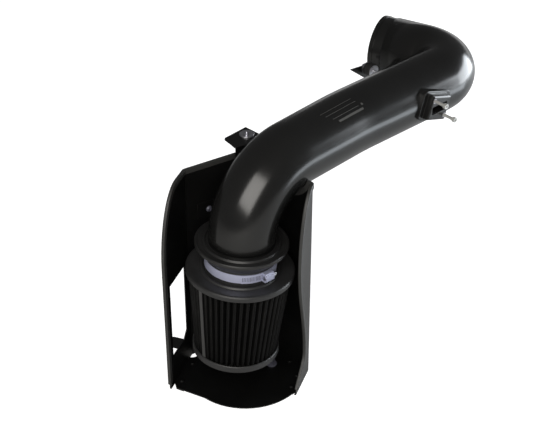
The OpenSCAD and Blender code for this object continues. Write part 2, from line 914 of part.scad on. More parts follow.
module tray_nut() {
  color([0.78, 0.78, 0.84])
    translate([tray_stud_at[0], tray_stud_at[1], sheet_t + tray_t])
      difference() {
        union() {
          cylinder(h = 1.6, r = tray_stud_d * 1.12);
          translate([0, 0, 1.6])
            cylinder(h = 1, r1 = tray_stud_d * 1.12, r2 = tray_stud_d * 0.9);
          cylinder(h = nut_h, r = tray_stud_d * 0.92, $fn = 6);
        }
        translate([0, 0, -past])
          cylinder(h = nut_h + 2 * past, r = tray_stud_d / 2);
      }
}

// Shield bracket

tab_z = shield_h + tab_lift;
tab_hole = [arm_to + 11, 23];

module shield_bracket() {
  color([0.05, 0.05, 0.055])
    on_left_rear()
      difference() {
        union() {
          translate([arm_from, -bracket_t, bolt_z - arm_h / 2])
            cube([arm_to - arm_from, bracket_t, arm_h]);
          translate([arm_to - riser_w, -bracket_t, bolt_z - arm_h / 2])
            cube([riser_w, bracket_t, tab_z - bolt_z + arm_h / 2]);
          translate([0, 0, tab_z - bracket_t])
            linear_extrude(bracket_t)
              polygon([
                [arm_to - riser_w, -bracket_t],
                [arm_to - riser_w - 2, 29],
                [arm_to - riser_w + 1, 33],
                [arm_to + 22, 45],
                [arm_to + 29, 17],
                [arm_to, -bracket_t]
              ]);
        }
        for (x = bolt_x)
          translate([x, past, bolt_z])
            rotate([90, 0, 0])
              cylinder(h = bracket_t + 2 * past, r = bolt_d / 2 + hole_gap);
        translate([tab_hole[0], tab_hole[1], tab_z - bracket_t - past])
          cylinder(h = bracket_t + 2 * past, r = stud_d / 2 + hole_gap);
      }
}

module bracket_bolts() {
  color([0.85, 0.85, 0.86])
    on_left_rear()
      for (x = bolt_x)
        translate([x, -bracket_t, bolt_z])
          rotate([90, 0, 0])
            difference() {
              union() {
                cylinder(h = 1, r = bolt_d * 0.85);
                translate([0, 0, 1])
                  cylinder(h = 2.2, r1 = bolt_d * 0.85, r2 = bolt_d * 0.5);
                translate([0, 0, -bracket_t - sheet_t - bolt_d])
                  cylinder(h = bracket_t + sheet_t + bolt_d, r = bolt_d / 2 - seat_gap / 2);
              }
              translate([0, 0, 1.4])
                cylinder(h = 3, r = bolt_d * 0.33, $fn = 6);
            }
}

module hex_nut(d, h) {
  difference() {
    cylinder(h = h, r = d * 0.95, $fn = 6);
    translate([0, 0, -past])
      cylinder(h = h + 2 * past, r = d / 2);
  }
}

module bracket_nuts() {
  color([0.75, 0.75, 0.77])
    on_left_rear()
      for (x = bolt_x)
        translate([x, sheet_t, bolt_z])
          rotate([-90, 0, 0])
            hex_nut(bolt_d, bolt_d * 0.8);
}

// Isolators: a rubber bobbin between two steel plates with studs, upwards from z = 0

module isolator_rubber() {
  r = isolator_d / 2;
  translate([0, 0, plate_t])
    rotate_extrude()
      polygon([
        [0, 0], [r - 1.8, 0], [r, 1.8], [r, isolator_len - 1.8], [r - 1.8, isolator_len], [0, isolator_len]
      ]);
}

module isolator_plates(held_out, free_out) {
  cylinder(h = plate_t, r = isolator_d / 2 - 0.6);
  translate([0, 0, -held_out])
    cylinder(h = held_out, r = stud_d / 2 - seat_gap / 2);
  translate([0, 0, plate_t + isolator_len]) {
    cylinder(h = plate_t, r = isolator_d / 2 - 0.6);
    translate([0, 0, plate_t])
      cylinder(h = free_out, r = stud_d / 2 - seat_gap / 2);
  }
}

washer_t = 2.2;

module under_tab() {
  on_left_rear()
    translate([tab_hole[0], tab_hole[1], tab_z - bracket_t])
      rotate([180, 0, 0])
        children();
}

module shield_isolator() {
  color([0.03, 0.03, 0.03])
    under_tab()
      isolator_rubber();
}

module shield_isolator_plates() {
  color([0.75, 0.75, 0.76])
    under_tab()
      isolator_plates(bracket_t + washer_t + 4.5, stud_out);
}

module shield_isolator_washer() {
  color([0.62, 0.62, 0.62])
    on_left_rear()
      translate([tab_hole[0], tab_hole[1], tab_z])
        difference() {
          union() {
            cylinder(h = washer_t - 0.6, r = washer_d / 2);
            translate([0, 0, washer_t - 0.6])
              cylinder(h = 0.6, r1 = washer_d / 2, r2 = washer_d / 2 - 0.6);
          }
          translate([0, 0, -past])
            cylinder(h = washer_t + 2 * past, r = stud_d / 2);
          translate([0, 0, washer_t - 0.8])
            cylinder(h = past, r = stud_d / 2 + 1.6);
        }
}

// Tube bracket: a leg under the tube, folded up into a pointed plate behind it

isolator_back = 45;
isolator_z = -3.5;

module tube_bracket() {
  leg_in = 12;
  leg_x = [-30, -5];
  top = -boss_face;
  color([0.3, 0.3, 0.3])
    beside_run(0, -1)
      difference() {
        union() {
          translate([-leg_x[1], top - bracket_t, leg_in])
            rotate([-90, 0, 0])
              mirror([0, 1, 0])
                linear_extrude(bracket_t)
                  square([leg_x[1] - leg_x[0], bracket_out + bracket_t - leg_in]);
          translate([0, 0, bracket_out])
            linear_extrude(bracket_t)
              polygon([
                [83, 6], [33, 1], [-leg_x[1], -30], [-leg_x[1], top - bracket_t],
                [-leg_x[0], top - bracket_t], [-leg_x[0], -36], [82, 4]
              ]);
        }
        translate([boss_back, top + past, boss_side])
          rotate([90, 0, 0])
            cylinder(h = bracket_t + 2 * past, r = bolt_d / 2 + hole_gap);
        translate([isolator_back, isolator_z, bracket_out - past])
          cylinder(h = bracket_t + 2 * past, r = stud_d / 2 + hole_gap);
      }
}

module tube_bracket_insert() {
  color([0.72, 0.53, 0.25])
    beside_run(boss_back, -1)
      translate([0, -boss_face, boss_side])
        rotate([-90, 0, 0])
          tube_ring(boss_bore_r, bolt_d / 2, boss_deep);
}

module tube_bracket_bolt() {
  color([0.75, 0.75, 0.77])
    beside_run(boss_back, -1)
      translate([0, -boss_face - bracket_t, boss_side])
        rotate([90, 0, 0]) {
          cylinder(h = 4, r = bolt_d * 0.95, $fn = 6);
          translate([0, 0, -bracket_t - boss_deep + 1])
            cylinder(h = bracket_t + boss_deep, r = bolt_d / 2 - seat_gap / 2);
        }
}

module behind_run() {
  beside_run(isolator_back, -1)
    translate([0, isolator_z, bracket_out])
      rotate([0, 180, 0])
        children();
}

module tube_isolator() {
  color([0.03, 0.03, 0.03])
    behind_run()
      isolator_rubber();
}

module tube_isolator_plates() {
  color([0.75, 0.75, 0.76])
    behind_run()
      isolator_plates(bracket_t + stud_d * 0.8 + 1.5, stud_out);
}

module tube_isolator_nut() {
  color([0.75, 0.75, 0.77])
    behind_run()
      translate([0, 0, -bracket_t - stud_d * 0.8])
        hex_nut(stud_d, stud_d * 0.8);
}

intake_tube();
sensor_inserts();
sensor_screws();
tube_adapter();
filter_top_cap();
filter_media();
filter_seam_strip();
filter_bottom_cap();
clamp_band();
clamp_housing();
clamp_screw();
shield_wall();
shield_tray();
shield_trim();
tray_screws();
tray_stud();
tray_nut();
shield_bracket();
bracket_bolts();
bracket_nuts();
shield_isolator();
shield_isolator_plates();
shield_isolator_washer();
tube_bracket();
tube_bracket_bolt();
tube_bracket_insert();
tube_isolator();
tube_isolator_plates();
tube_isolator_nut();
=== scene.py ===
"""Looks for a cold air intake: a moulded pipe, a cone filter and an open heat shield.

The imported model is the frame. This script gives each solid its finish, adds the small
parts that only show up close, and lights it the way the photograph is lit. Lengths are in
metres, in the same frame as the solids.
"""

import json
import logging
import math
from collections.abc import Iterable
from dataclasses import dataclass, field
from enum import Enum

import bpy
import bmesh
from mathutils import Matrix, Quaternion, Vector

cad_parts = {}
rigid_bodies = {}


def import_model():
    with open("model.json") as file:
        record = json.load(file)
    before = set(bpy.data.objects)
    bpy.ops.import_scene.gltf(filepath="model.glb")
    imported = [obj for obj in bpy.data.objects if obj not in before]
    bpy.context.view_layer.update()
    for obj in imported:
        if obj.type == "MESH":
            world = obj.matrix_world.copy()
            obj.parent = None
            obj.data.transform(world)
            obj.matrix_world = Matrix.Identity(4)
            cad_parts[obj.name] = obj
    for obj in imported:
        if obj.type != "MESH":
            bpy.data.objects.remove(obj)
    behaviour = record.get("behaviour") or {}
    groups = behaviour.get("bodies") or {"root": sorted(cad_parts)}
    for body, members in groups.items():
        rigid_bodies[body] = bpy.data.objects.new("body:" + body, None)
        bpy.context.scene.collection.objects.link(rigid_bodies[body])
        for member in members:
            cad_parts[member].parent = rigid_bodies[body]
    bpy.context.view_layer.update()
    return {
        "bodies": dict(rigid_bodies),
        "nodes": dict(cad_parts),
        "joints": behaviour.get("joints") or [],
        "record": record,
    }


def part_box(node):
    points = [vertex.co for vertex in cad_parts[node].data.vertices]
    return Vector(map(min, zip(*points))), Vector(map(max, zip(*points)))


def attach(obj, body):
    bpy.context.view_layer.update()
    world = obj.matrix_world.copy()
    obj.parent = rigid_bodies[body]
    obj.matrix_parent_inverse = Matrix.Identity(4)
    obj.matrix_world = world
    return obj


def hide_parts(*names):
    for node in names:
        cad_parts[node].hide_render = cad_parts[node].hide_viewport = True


log = logging.getLogger("intake")

Colour = tuple[float, float, float]
Triple = tuple[float, float, float]

FILTER_FOOT: Triple = (-0.046, -0.056, 0.0)
MERGE_DISTANCE = 1e-7


# Shared effects


def new_material(name: str) -> tuple[bpy.types.Material, bpy.types.Node]:
    """Starts a material with its nodes switched on.

    Args:
        name: the material's name.

    Returns:
        The material and its Principled BSDF.
    """
    mat = bpy.data.materials.new(name)
    mat.use_nodes = True
    return mat, mat.node_tree.nodes["Principled BSDF"]


def new_group(name: str, inputs: dict[str, float], outputs: dict[str, str]) -> bpy.types.NodeTree:
    """Starts a shader node group with a Position input and named sockets.

    Args:
        name: the group's name.
        inputs: each further input, a number, and its default.
        outputs: each output and its socket type.

    Returns:
        The group's empty node tree.
    """
    tree = bpy.data.node_groups.new(name, "ShaderNodeTree")
    tree.interface.new_socket("Position", in_out="INPUT", socket_type="NodeSocketVector")
    for key, value in inputs.items():
        socket = tree.interface.new_socket(key, in_out="INPUT", socket_type="NodeSocketFloat")
        socket.default_value = value
    for key, kind in outputs.items():
        tree.interface.new_socket(key, in_out="OUTPUT", socket_type=kind)
    return tree


class Effects:
    """The node groups that more than one finish uses, each built once.

    The level stretch is how fast the brushed lines change along X, Y and Z.
    """

    LEVEL_STRETCH: Triple = (0.04, 0.04, 1.0)

    def __init__(self) -> None:
        """Starts with no group built."""
        self._built: dict[str, bpy.types.NodeTree] = {}

    def grain(self) -> bpy.types.NodeTree:
        """Fine all-over grain, as a height and a mottled value.

        Returns:
            A group with Height and Mottle, each about 0 to 1.
        """
        if "grain" in self._built:
            return self._built["grain"]
        tree = new_group(
            "Surface grain",
            {"Grain Size": 0.0008, "Mottle Size": 0.03},
            {"Height": "NodeSocketFloat", "Mottle": "NodeSocketFloat"},
        )
        entry, leave = tree.nodes.new("NodeGroupInput"), tree.nodes.new("NodeGroupOutput")
        for size, output, detail in (("Grain Size", "Height", 2.0), ("Mottle Size", "Mottle", 4.0)):
            noise = self._noise(tree, entry.outputs["Position"], entry.outputs[size], detail)
            tree.links.new(noise, leave.inputs[output])
        self._built["grain"] = tree
        return tree

    def brushed(self) -> bpy.types.NodeTree:
        """Fine rings about the Z axis, as on drawn or turned steel.

        Returns:
            A group with a Height of about 0 to 1.
        """
        if "brushed" in self._built:
            return self._built["brushed"]
        tree = new_group("Brushed lines", {"Line Size": 0.0006}, {"Height": "NodeSocketFloat"})
        entry, leave = tree.nodes.new("NodeGroupInput"), tree.nodes.new("NodeGroupOutput")
        stretch = tree.nodes.new("ShaderNodeVectorMath")
        stretch.operation = "MULTIPLY"
        stretch.inputs[1].default_value = self.LEVEL_STRETCH
        tree.links.new(entry.outputs["Position"], stretch.inputs[0])
        noise = self._noise(tree, stretch.outputs[0], entry.outputs["Line Size"], 3.0)
        tree.links.new(noise, leave.inputs["Height"])
        self._built["brushed"] = tree
        return tree

    @staticmethod
    def _noise(tree: bpy.types.NodeTree, place: bpy.types.NodeSocket,
               size: bpy.types.NodeSocket, detail: float) -> bpy.types.NodeSocket:
        """Adds noise whose spots have a given size.

        Args:
            tree: the group that it is added to.
            place: the position to read the noise at.
            size: the size of its spots.
            detail: how many finer layers it has.

        Returns:
            The noise's value.
        """
        scale = tree.nodes.new("ShaderNodeMath")
        scale.operation = "DIVIDE"
        scale.inputs[0].default_value = 1.0
        noise = tree.nodes.new("ShaderNodeTexNoise")
        noise.inputs["Detail"].default_value = detail
        tree.links.new(size, scale.inputs[1])
        tree.links.new(place, noise.inputs["Vector"])
        tree.links.new(scale.outputs[0], noise.inputs["Scale"])
        return noise.outputs["Fac"]


# Finishes


@dataclass(frozen=True)
class Finish:
    """A plain finish with grain, and the values that its material is made from.

    Colour and roughness swing about their own value, as a share and by an amount, while the
    mottle rises through its span. With lines, the relief is brushed and not grained.
    """

    name: str
    colour: Colour
    roughness: float
    roughness_swing: float = 0.06
    colour_swing: float = 0.15
    metallic: float = 0.0
    specular: float = 0.5
    grain_size: float = 0.0008
    grain_depth: float = 0.00002
    mottle_size: float = 0.03
    lines: bool = False
    mottle_span: tuple[float, float] = (0.3, 0.7)

    def material(self, effects: Effects) -> bpy.types.Material:
        """Builds the finish's material.

        Args:
            effects: the shared node groups.

        Returns:
            The new material.
        """
        mat, shader = new_material(self.name)
        nodes, links = mat.node_tree.nodes, mat.node_tree.links
        shader.inputs["Metallic"].default_value = self.metallic
        shader.inputs["Specular IOR Level"].default_value = self.specular
        place = nodes.new("ShaderNodeTexCoord")
        grain = nodes.new("ShaderNodeGroup")
        grain.node_tree = effects.grain()
        grain.inputs["Grain Size"].default_value = self.grain_size
        grain.inputs["Mottle Size"].default_value = self.mottle_size
        links.new(place.outputs["Object"], grain.inputs["Position"])
        self._tone(nodes, links, grain, shader)
        height = grain.outputs["Height"]
        if self.lines:
            brushed = nodes.new("ShaderNodeGroup")
            brushed.node_tree = effects.brushed()
            links.new(place.outputs["Object"], brushed.inputs["Position"])
            height = brushed.outputs["Height"]
        bump = nodes.new("ShaderNodeBump")
        bump.inputs["Distance"].default_value = self.grain_depth
        links.new(height, bump.inputs["Height"])
        links.new(bump.outputs["Normal"], shader.inputs["Normal"])
        return mat

    def _tone(self, nodes: bpy.types.Nodes, links: bpy.types.NodeLinks, grain: bpy.types.Node,
              shader: bpy.types.Node) -> None:
        """Lets colour and roughness drift with the mottle.

        Args:
            nodes: the material's nodes.
            links: the material's links.
            grain: the placed grain group.
            shader: the Principled BSDF.
        """
        ramp = nodes.new("ShaderNodeValToRGB")
        shares = (1 - self.colour_swing, 1 + self.colour_swing)
        for stop, at, share in zip(ramp.color_ramp.elements, self.mottle_span, shares):
            stop.position = at
            stop.color = (*(min(1.0, c * share) for c in self.colour), 1)
        links.new(grain.outputs["Mottle"], ramp.inputs["Fac"])
        links.new(ramp.outputs["Color"], shader.inputs["Base Color"])
        rough = nodes.new("ShaderNodeMapRange")
        rough.inputs["From Min"].default_value = self.mottle_span[0]
        rough.inputs["From Max"].default_value = self.mottle_span[1]
        rough.inputs["To Min"].default_value = self.roughness - self.roughness_swing
        rough.inputs["To Max"].default_value = self.roughness + self.roughness_swing
        links.new(grain.outputs["Mottle"], rough.inputs["Value"])
        links.new(rough.outputs["Result"], shader.inputs["Roughness"])


class Surface(Enum):
    """The finishes that the intake has."""

    TUBE = Finish("Gloss black tube", (0.01, 0.01, 0.0098), 0.2, 0.015, 0.08,
                  grain_size=0.006, grain_depth=0.00001, mottle_size=0.05)
    ADAPTER = Finish("Satin adapter", (0.014, 0.014, 0.014), 0.42, 0.05,
                     grain_size=0.0012, grain_depth=0.00002)
    CAP = Finish("Satin filter cap", (0.02, 0.02, 0.0205), 0.45, 0.05,
                 grain_size=0.0012, grain_depth=0.00002)
    SEAM = Finish("Seam strip", (0.036, 0.036, 0.036), 0.36)
    CLAMP = Finish("Clamp steel", (0.5, 0.52, 0.68), 0.42, 0.05, 0.06, metallic=0.45,
                   grain_depth=0.000006, lines=True)
    SHIELD = Finish("Black powder coat", (0.003, 0.003, 0.003), 0.36, 0.03, 0.12,
                    grain_size=0.0011, grain_depth=0.00002, mottle_size=0.06)
    TRIM = Finish("Edge rubber", (0.03, 0.03, 0.029), 0.46, 0.05,
                  grain_size=0.0016, grain_depth=0.00005)
    BOBBIN = Finish("Isolator rubber", (0.012, 0.012, 0.012), 0.6)
    ZINC = Finish("Zinc plate", (0.6, 0.6, 0.64), 0.34, 0.08, 0.1, metallic=1.0,
                  grain_size=0.0005, grain_depth=0.00001, mottle_size=0.004)
    BADGE = Finish("Badge inlay", (0.075, 0.075, 0.072), 0.3, 0.03, 0.08, grain_depth=0.00001)
    SCREW = Finish("Pale plated screw", (0.5, 0.5, 0.48), 0.38, 0.05, 0.06, metallic=0.35,
                   grain_size=0.0004, grain_depth=0.000008, mottle_size=0.004)
    BOLT = Finish("Dull plated bolt", (0.1, 0.1, 0.13), 0.5, 0.06, 0.08, metallic=0.3,
                  grain_size=0.0005, grain_depth=0.00001, mottle_size=0.004)
    BLACK_OXIDE = Finish("Black oxide", (0.003, 0.003, 0.003), 0.45, specular=0.15)
    BRASS = Finish("Plated brass", (0.4, 0.38, 0.4), 0.42, 0.06, 0.1, metallic=0.7,
                   grain_size=0.0004, grain_depth=0.00001, mottle_size=0.003)


@dataclass(frozen=True)
class MeshCloth:
    """Pleated filter cloth, with a fine wire mesh over it. Its default cloth and wire colours are
    painted very dark, as painted shade in the pleat valleys.
    """

    name: str = "Pleated media"
    # painted shade: these defaults are darker than the cloth's own tone, for the shaded pleat
    # valleys
    colour: Colour = (0.0006, 0.0006, 0.0006)
    wire: Colour = (0.003, 0.003, 0.0029)
    pitch: float = 0.0022
    unevenness: float = 0.35
    wire_depth: float = 0.0002
    wire_share: tuple[float, float] = (0.03, 0.12)
    roughness: float = 0.75
    specular: float = 0.15

    def material(self) -> bpy.types.Material:
        """Builds the cloth's material.

        Returns:
            The new material.
        """
        mat, shader = new_material(self.name)
        nodes, links = mat.node_tree.nodes, mat.node_tree.links
        shader.inputs["Roughness"].default_value = self.roughness
        shader.inputs["Specular IOR Level"].default_value = self.specular
        place = nodes.new("ShaderNodeTexCoord")
        weave = nodes.new("ShaderNodeTexVoronoi")
        weave.feature = "DISTANCE_TO_EDGE"
        weave.inputs["Scale"].default_value = 1 / self.pitch
        weave.inputs["Randomness"].default_value = self.unevenness
        links.new(place.outputs["Object"], weave.inputs["Vector"])
        mask = nodes.new("ShaderNodeMapRange")
        mask.inputs["From Min"].default_value = self.wire_share[0]
        mask.inputs["From Max"].default_value = self.wire_share[1]
        mask.inputs["To Min"].default_value = 1.0
        mask.inputs["To Max"].default_value = 0.0
        links.new(weave.outputs["Distance"], mask.inputs["Value"])
        blend = nodes.new("ShaderNodeMix")
        blend.data_type = "RGBA"
        blend.inputs["A"].default_value = (*self.colour, 1)
        blend.inputs["B"].default_value = (*self.wire, 1)
        links.new(mask.outputs["Result"], blend.inputs["Factor"])
        links.new(blend.outputs["Result"], shader.inputs["Base Color"])
        bump = nodes.new("ShaderNodeBump")
        bump.inputs["Distance"].default_value = self.wire_depth
        links.new(mask.outputs["Result"], bump.inputs["Height"])
        links.new(bump.outputs["Normal"], shader.inputs["Normal"])
        return mat


@dataclass(frozen=True)
class WormBand:
    """The clamp's band: bright steel with a run of slots that the worm screw bites in. The slots
    are real, and are painted on as darker steel: painted shade in their recesses.

    The turn, in radians, and the lift bring the filter's leaning axis upright over the
    origin. The run is where the slots start and stop, as shares of a turn about that axis.
    """

    steel: Finish
    turn: Triple = (0.0387, -0.0495, 0.0)
    lift: float = 0.00445
    slots_per_turn: float = 150.0
    slot_share: float = 0.42
    run: tuple[float, float] = (0.3125, 0.412)
    half_width: float = 0.0038
    slot_shade_colour: Colour = (0.2, 0.2, 0.27)

    def material(self, effects: Effects, middle: float) -> bpy.types.Material:
        """Builds the band's material from the plain steel.

        Args:
            effects: the shared node groups.
            middle: the band's middle, from the foot of the filter's axis.

        Returns:
            The new material.
        """
        mat = self.steel.material(effects)
        mat.name = "Worm band"
        nodes, links = mat.node_tree.nodes, mat.node_tree.links
        place = next(n for n in nodes if n.bl_idname == "ShaderNodeTexCoord")
        upright = nodes.new("ShaderNodeMapping")
        upright.inputs["Rotation"].default_value = self.turn
        upright.inputs["Location"].default_value = (-FILTER_FOOT[0], -FILTER_FOOT[1], self.lift)
        links.new(place.outputs["Object"], upright.inputs["Vector"])
        around = nodes.new("ShaderNodeTexGradient")
        around.gradient_type = "RADIAL"
        links.new(upright.outputs["Vector"], around.inputs["Vector"])
        split = nodes.new("ShaderNodeSeparateXYZ")
        links.new(upright.outputs["Vector"], split.inputs["Vector"])
        count = self._math(mat, "MULTIPLY", around.outputs["Fac"], self.slots_per_turn)
        part = self._math(mat, "FRACT", count, None)
        slot = self._math(mat, "LESS_THAN", part, self.slot_share)
        after = self._math(mat, "GREATER_THAN", around.outputs["Fac"], self.run[0])
        before = self._math(mat, "LESS_THAN", around.outputs["Fac"], self.run[1])
        off = self._math(mat, "SUBTRACT", split.outputs["Z"], middle)
        size = self._math(mat, "ABSOLUTE", off, None)
        level = self._math(mat, "LESS_THAN", size, self.half_width)
        mask = slot
        for more in (after, before, level):
            mask = self._math(mat, "MULTIPLY", mask, more)
        shader = nodes["Principled BSDF"]
        bare = shader.inputs["Base Color"].links[0].from_socket
        # the real slots are painted as darker steel: painted shade in their recesses
        blend = nodes.new("ShaderNodeMix")
        blend.data_type = "RGBA"
        blend.inputs["B"].default_value = (*self.slot_shade_colour, 1)
        links.new(mask, blend.inputs["Factor"])
        links.new(bare, blend.inputs["A"])
        links.new(blend.outputs["Result"], shader.inputs["Base Color"])
        return mat

    @staticmethod
    def _math(mat: bpy.types.Material, kind: str, first: bpy.types.NodeSocket,
              second: bpy.types.NodeSocket | float | None) -> bpy.types.NodeSocket:
        """Adds one Math node.

        Args:
            mat: the material.
            kind: the node's operation.
            first: the socket that feeds it.
            second: a second socket, a number, or None.

        Returns:
            The node's output.
        """
        node = mat.node_tree.nodes.new("ShaderNodeMath")
        node.operation = kind
        mat.node_tree.links.new(first, node.inputs[0])
        if isinstance(second, bpy.types.NodeSocket):
            mat.node_tree.links.new(second, node.inputs[1])
        elif second is not None:
            node.inputs[1].default_value = second
        return node.outputs[0]


# Shapes


@dataclass(frozen=True)
class Station:
    """One place on the pipe's centre line."""

    point: Vector
    way: Vector
    radius: float


def heading(degrees: float) -> Vector:
    """The level direction of a compass heading, from +Y towards +X.

    Args:
        degrees: the heading.

    Returns:
        A unit vector.
    """
    a = math.radians(degrees)
    return Vector((math.sin(a), math.cos(a), 0.0))


@dataclass
class PipeRoute:
    """The pipe's centre line, from the filter's axis to its outlet.

    It rises along the leaning axis to the adapter's flange and past it to the lower bend,
    then runs straight, sweeps round a little, runs straight again and takes the tight bend.
    Angles and headings are in degrees.
    """

    foot: Vector = field(default_factory=lambda: Vector(FILTER_FOOT))
    lean: float = 3.6
    lean_heading: float = 52.0
    rise: float = 0.2763
    flange_gap: float = 0.011
    first_heading: float = 24.0
    second_heading: float = 28.3
    outlet_heading: float = -80.0
    first_len: float = 0.107
    second_len: float = 0.185
    lower_bend: float = 0.103
    sweep: float = 0.59
    tight_bend: float = 0.057
    radii: Triple = (0.051, 0.052, 0.053)
    bend_steps: tuple[int, int, int] = (30, 6, 44)
    run_steps: int = 8

    def __post_init__(self) -> None:
        """Works out where each bend starts and ends."""
        a = math.radians(self.lean)
        self.axis = heading(self.lean_heading) * math.sin(a) + Vector((0, 0, math.cos(a)))
        self.ways = (self.axis, heading(self.first_heading), heading(self.second_heading),
                     heading(self.outlet_heading))
        self.starts: list[Vector] = [self.foot + self.axis * (self.rise + self.flange_gap)]
        self.ends: list[Vector] = []
        for i, (bend, run) in enumerate(zip(
                (self.lower_bend, self.sweep, self.tight_bend),
                (self.first_len, self.second_len, 0.0))):
            self.ends.append(self._along_bend(i, bend, 1.0).point)
            self.starts.append(self.ends[-1] + self.ways[i + 1] * run)

    def _along_bend(self, i: int, bend: float, share: float) -> Station:
        """A place part of the way round a bend.

        Args:
            i: the bend's number.
            bend: its centre line radius.
            share: how far round it, from 0 to 1.

        Returns:
            The station there.
        """
        a, b = self.ways[i], self.ways[i + 1]
        side = (b - a * a.dot(b)).normalized()
        turn = a.angle(b) * share
        point = self.starts[i] + side * bend * (1 - math.cos(turn)) + a * bend * math.sin(turn)
        return Station(point, a * math.cos(turn) + side * math.sin(turn), self.radii[i])

    def past_bend(self, reach: float) -> Station:
        """A place on the first straight or the sweep after it.

        Args:
            reach: how far it lies from the end of the lower bend, along the centre line.

        Returns:
            The station there, with the pipe's own radius.
        """
        if reach > self.first_len:
            arc = self.sweep * self.ways[1].angle(self.ways[2])
            return self._along_bend(1, self.sweep, (reach - self.first_len) / arc)
        wide = self.radii[0] + (self.radii[1] - self.radii[0]) * reach / self.first_len
        return Station(self.ends[0] + self.ways[1] * reach, self.ways[1], wide)

    def stations(self, proud: float, low: float, far: float) -> list[Station]:
        """The stations of the whole pipe, close together in the bends.

        Args:
            proud: how far each ring stands outside the pipe.
            low: where the first station lies, from the foot along the filter's axis.
            far: where the last one lies, from the end of the tight bend.

        Returns:
            The stations, from the filter to the outlet.
        """
        r = [x + proud for x in self.radii]
        out = [Station(self.foot + self.axis * low, self.axis, r[0])]
        bends = (self.lower_bend, self.sweep, self.tight_bend)
        for i, (bend, steps) in enumerate(zip(bends, self.bend_steps)):
            for k in range(steps + 1):
                at = self._along_bend(i, bend, k / steps)
                out.append(Station(at.point, at.way, r[i]))
            if i + 1 < len(bends):
                a, b = self.ends[i], self.starts[i + 1]
                shares = [t / self.run_steps for t in range(1, self.run_steps)]
                out += [Station(a.lerp(b, share), self.ways[i + 1],
                                r[i] + (r[i + 1] - r[i]) * share) for share in shares]
        out.append(Station(self.ends[-1] + self.ways[-1] * far, self.ways[-1], r[-1]))
        return out


def extruded(bm: bmesh.types.BMesh, edges: list[bmesh.types.BMEdge],
             move: Matrix) -> list[bmesh.types.BMEdge]:
    """Extrudes a run of edges and moves the new copy.

    Args:
        bm: the mesh.
        edges: the edges to extrude.
        move: where the copy goes.

    Returns:
        The copy's edges.
    """
    new = bmesh.ops.extrude_edge_only(bm, edges=edges)["geom"]
    verts = [v for v in new if isinstance(v, bmesh.types.BMVert)]
    held = set(verts)
    bmesh.ops.transform(bm, matrix=move, verts=verts)
    return [e for e in new if isinstance(e, bmesh.types.BMEdge) and all(v in held for v in e.verts)]


@dataclass
class Sweep:
    """A round skin drawn along stations by extruding one ring again and again."""

    name: str
    stations: list[Station]
    segments: int = 96

    def build(self) -> bpy.types.Object:
        """Makes the skin.

        Returns:
            The new object, with its normals outward.
        """
        bm = bmesh.new()
        turn = self.stations[0].way.to_track_quat("Z", "X")
        place = self._frame(self.stations[0], turn)
        ring = bmesh.ops.create_circle(bm, segments=self.segments, radius=1.0, matrix=place)
        edges = list({e for v in ring["verts"] for e in v.link_edges})
        for a, b in zip(self.stations, self.stations[1:]):
            turn = a.way.rotation_difference(b.way) @ turn
            after = self._frame(b, turn)
            edges = extruded(bm, edges, after @ place.inverted())
            place = after
        return finished(self.name, bm, self.stations[0].point)

    @staticmethod
    def _frame(station: Station, turn: Quaternion) -> Matrix:
        """The matrix that lays a unit ring at a station.

        Args:
            station: where the ring lies.
            turn: the ring's rotation.

        Returns:
            The matrix.
        """
        size = Matrix.Diagonal((station.radius, station.radius, station.radius, 1))
        return Matrix.Translation(station.point) @ turn.to_matrix().to_4x4() @ size


@dataclass(frozen=True)
class Inlay:
    """A thin strip laid along the pipe's first straight, some degrees round from its top."""

    name: str
    near: float
    far: float
    angle_from: float
    angle_to: float
    proud: float = 0.00053
    step: float = 0.004
    arc_steps: int = 4

    def build(self, route: PipeRoute) -> bpy.types.Object:
        """Draws an arc of the pipe's skin along the pipe.

        Args:
            route: the pipe's centre line.

        Returns:
            The new object.
        """
        bm = bmesh.new()
        steps = max(2, int((self.far - self.near) / self.step))
        rings = [route.past_bend(self.near + (self.far - self.near) * k / steps)
                 for k in range(steps + 1)]
        place = self._upright(rings[0])
        spread = math.radians(self.angle_to - self.angle_from)
        first = place @ Matrix.Rotation(math.radians(self.angle_from), 4, "Z")
        radius = rings[0].radius + self.proud
        vert = bmesh.ops.create_vert(bm, co=first @ Vector((radius, 0, 0)))["vert"]
        bmesh.ops.spin(bm, geom=vert, cent=rings[0].point, axis=rings[0].way, angle=spread,
                       steps=self.arc_steps, use_merge=False, use_duplicate=False)
        edges = list(bm.edges)
        for a, b in zip(rings, rings[1:]):
            grow = (b.radius + self.proud) / (a.radius + self.proud)
            size = Matrix.Diagonal((grow, grow, 1, 1))
            after = self._upright(b)
            edges = extruded(bm, edges, after @ size @ place.inverted())
            place = after
        return finished(self.name, bm, rings[0].point)

    @staticmethod
    def _upright(station: Station) -> Matrix:
        """A frame at a station, with Z along the pipe and X up.

        Args:
            station: where the frame lies.

        Returns:
            The matrix.
        """
        side = station.way.cross(Vector((0, 0, 1)))
        turn = Matrix((side.cross(station.way), side, station.way)).transposed()
        return Matrix.Translation(station.point) @ turn.to_4x4()


